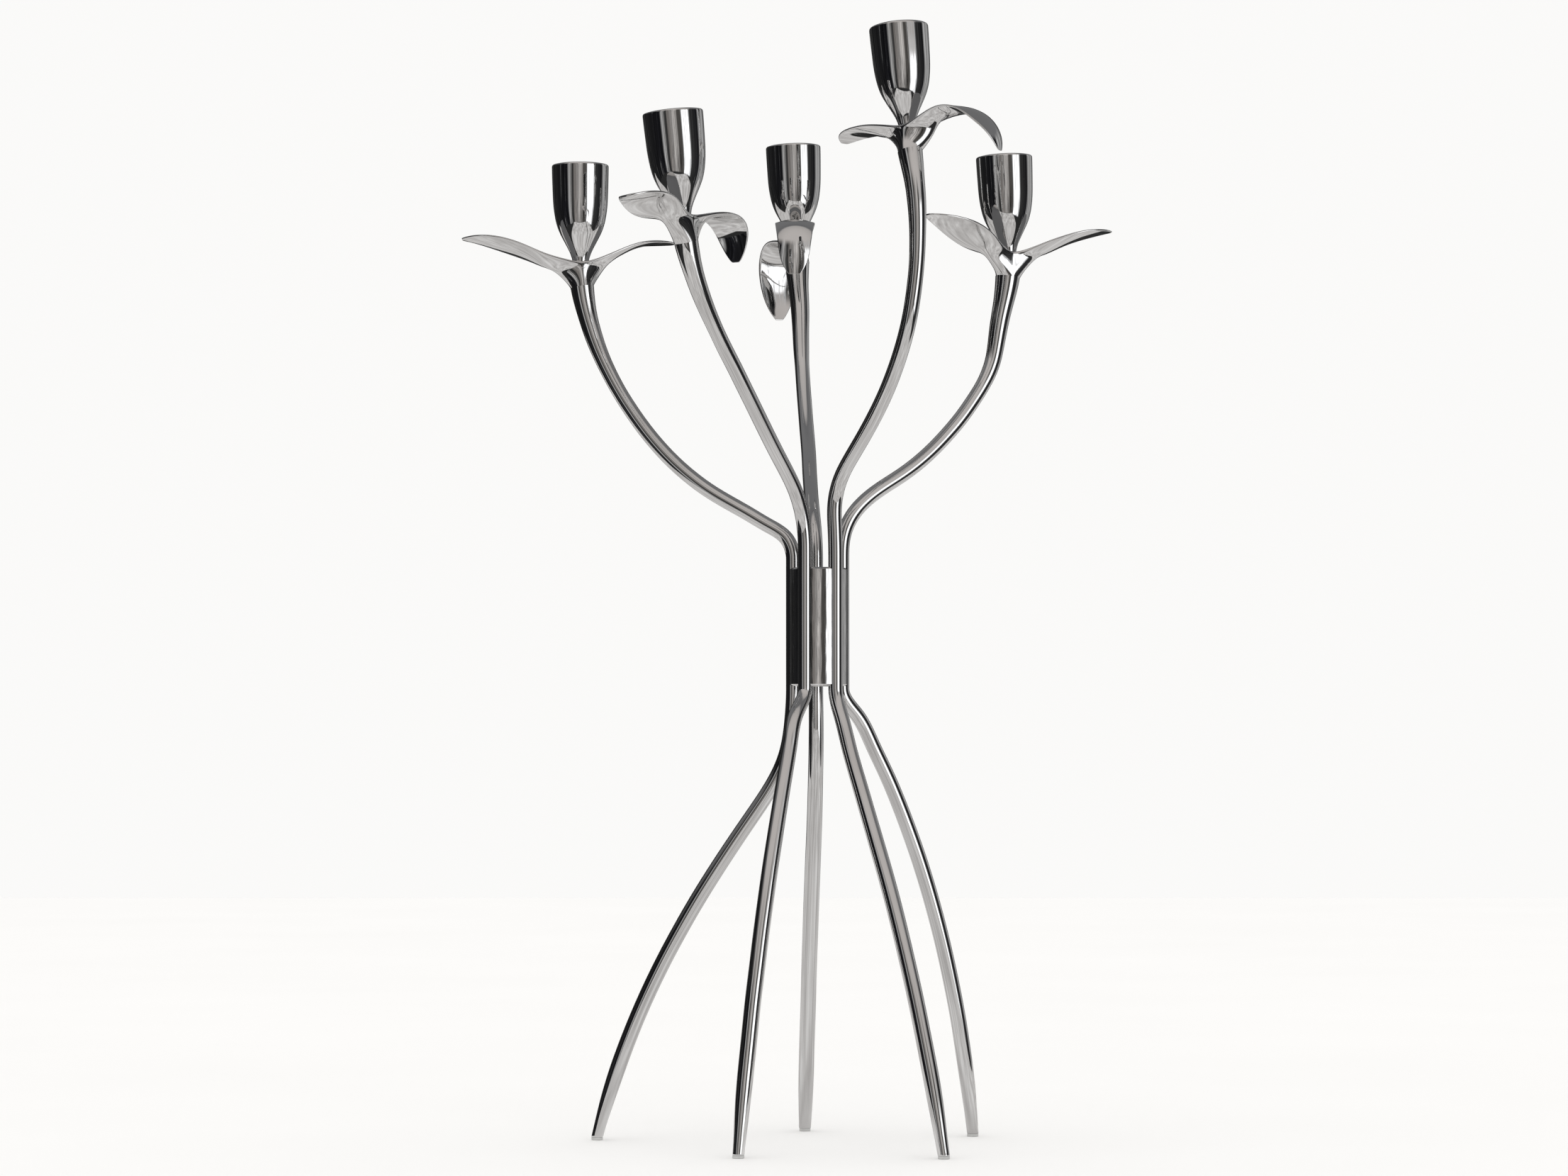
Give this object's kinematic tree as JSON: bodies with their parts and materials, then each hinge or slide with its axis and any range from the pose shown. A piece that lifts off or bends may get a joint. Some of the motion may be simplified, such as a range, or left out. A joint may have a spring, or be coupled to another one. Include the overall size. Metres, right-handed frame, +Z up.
{
  "type": "table candelabrum",
  "caption": "Free-standing candelabrum: bent rods bundled in a fluted collar, each a leg below and an arm above, with leaf pairs and tulip candle cups.",
  "frame": {"origin": "centre of the footprint of the whole object, on the surface it stands on", "axes": "+Z up; -Y towards the viewer of the picture, +X to the viewer's right"},
  "size_m": [0.367, 0.309, 0.6057],
  "materials": {
    "polished_metal": "mirror-polished bright plating with fine handling scratches",
    "stud_steel": "plain turned steel",
    "foot_pad": "thin dull grey disc"
  },
  "bodies": {
    "stand": {"hub_sleeve": "polished_metal", "stem_left": "polished_metal", "stem_front_left": "polished_metal", "stem_back": "polished_metal", "stem_front_right": "polished_metal", "stem_right": "polished_metal", "leaf_pair_left": "polished_metal", "leaf_pair_front_left": "polished_metal", "leaf_pair_back": "polished_metal", "leaf_pair_front_right": "polished_metal", "leaf_pair_right": "polished_metal", "foot_pad_left": "foot_pad", "foot_pad_front_left": "foot_pad", "foot_pad_back": "foot_pad", "foot_pad_front_right": "foot_pad", "foot_pad_right": "foot_pad"},
    "stud_left": {"cup_stud_left": "stud_steel"},
    "cup_left": {"candle_cup_left": "polished_metal"},
    "stud_front_left": {"cup_stud_front_left": "stud_steel"},
    "cup_front_left": {"candle_cup_front_left": "polished_metal"},
    "stud_back": {"cup_stud_back": "stud_steel"},
    "cup_back": {"candle_cup_back": "polished_metal"},
    "stud_front_right": {"cup_stud_front_right": "stud_steel"},
    "cup_front_right": {"candle_cup_front_right": "polished_metal"},
    "stud_right": {"cup_stud_right": "stud_steel"},
    "cup_right": {"candle_cup_right": "polished_metal"}
  },
  "joints": [
    {"name": "cup_turn_left", "type": "hinge", "parent": "stud_left", "child": "cup_left", "pos_m": [-0.11681, 0.03309, 0.4885], "axis": [-0.006, 0, 1], "range_deg": [0, 2880]},
    {"name": "cup_rise_left", "type": "slide", "parent": "stand", "child": "stud_left", "axis": [-0.006, 0, 1], "range_m": [0, 0.0064]},
    {"name": "cup_turn_front_left", "type": "hinge", "parent": "stud_front_left", "child": "cup_front_left", "pos_m": [-0.05611, -0.11131, 0.4955], "axis": [-0.096, -0.03, 0.9949], "range_deg": [0, 2880]},
    {"name": "cup_rise_front_left", "type": "slide", "parent": "stand", "child": "stud_front_left", "axis": [-0.096, -0.03, 0.9949], "range_m": [0, 0.0064]},
    {"name": "cup_turn_back", "type": "hinge", "parent": "stud_back", "child": "cup_back", "pos_m": [0.00419, 0.12169, 0.5124], "axis": [-0.035, 0, 0.9994], "range_deg": [0, 2880]},
    {"name": "cup_rise_back", "type": "slide", "parent": "stand", "child": "stud_back", "axis": [-0.035, 0, 0.9994], "range_m": [0, 0.0064]},
    {"name": "cup_turn_front_right", "type": "hinge", "parent": "stud_front_right", "child": "cup_front_right", "pos_m": [0.06289, -0.06411, 0.5499], "axis": [-0.081, 0.07, 0.9943], "range_deg": [0, 2880]},
    {"name": "cup_rise_front_right", "type": "slide", "parent": "stand", "child": "stud_front_right", "axis": [-0.081, 0.07, 0.9943], "range_m": [0, 0.0064]},
    {"name": "cup_turn_right", "type": "hinge", "parent": "stud_right", "child": "cup_right", "pos_m": [0.12379, 0.05649, 0.4968], "axis": [-0.042, 0, 0.9991], "range_deg": [0, 2880]},
    {"name": "cup_rise_right", "type": "slide", "parent": "stand", "child": "stud_right", "axis": [-0.042, 0, 0.9991], "range_m": [0, 0.0064]}
  ],
  "couplings": [
    {"joint": "cup_rise_left", "follows": "cup_turn_left", "m_per_rad": 0.00012732},
    {"joint": "cup_rise_front_left", "follows": "cup_turn_front_left", "m_per_rad": 0.00012732},
    {"joint": "cup_rise_back", "follows": "cup_turn_back", "m_per_rad": 0.00012732},
    {"joint": "cup_rise_front_right", "follows": "cup_turn_front_right", "m_per_rad": 0.00012732},
    {"joint": "cup_rise_right", "follows": "cup_turn_right", "m_per_rad": 0.00012732}
  ]
}
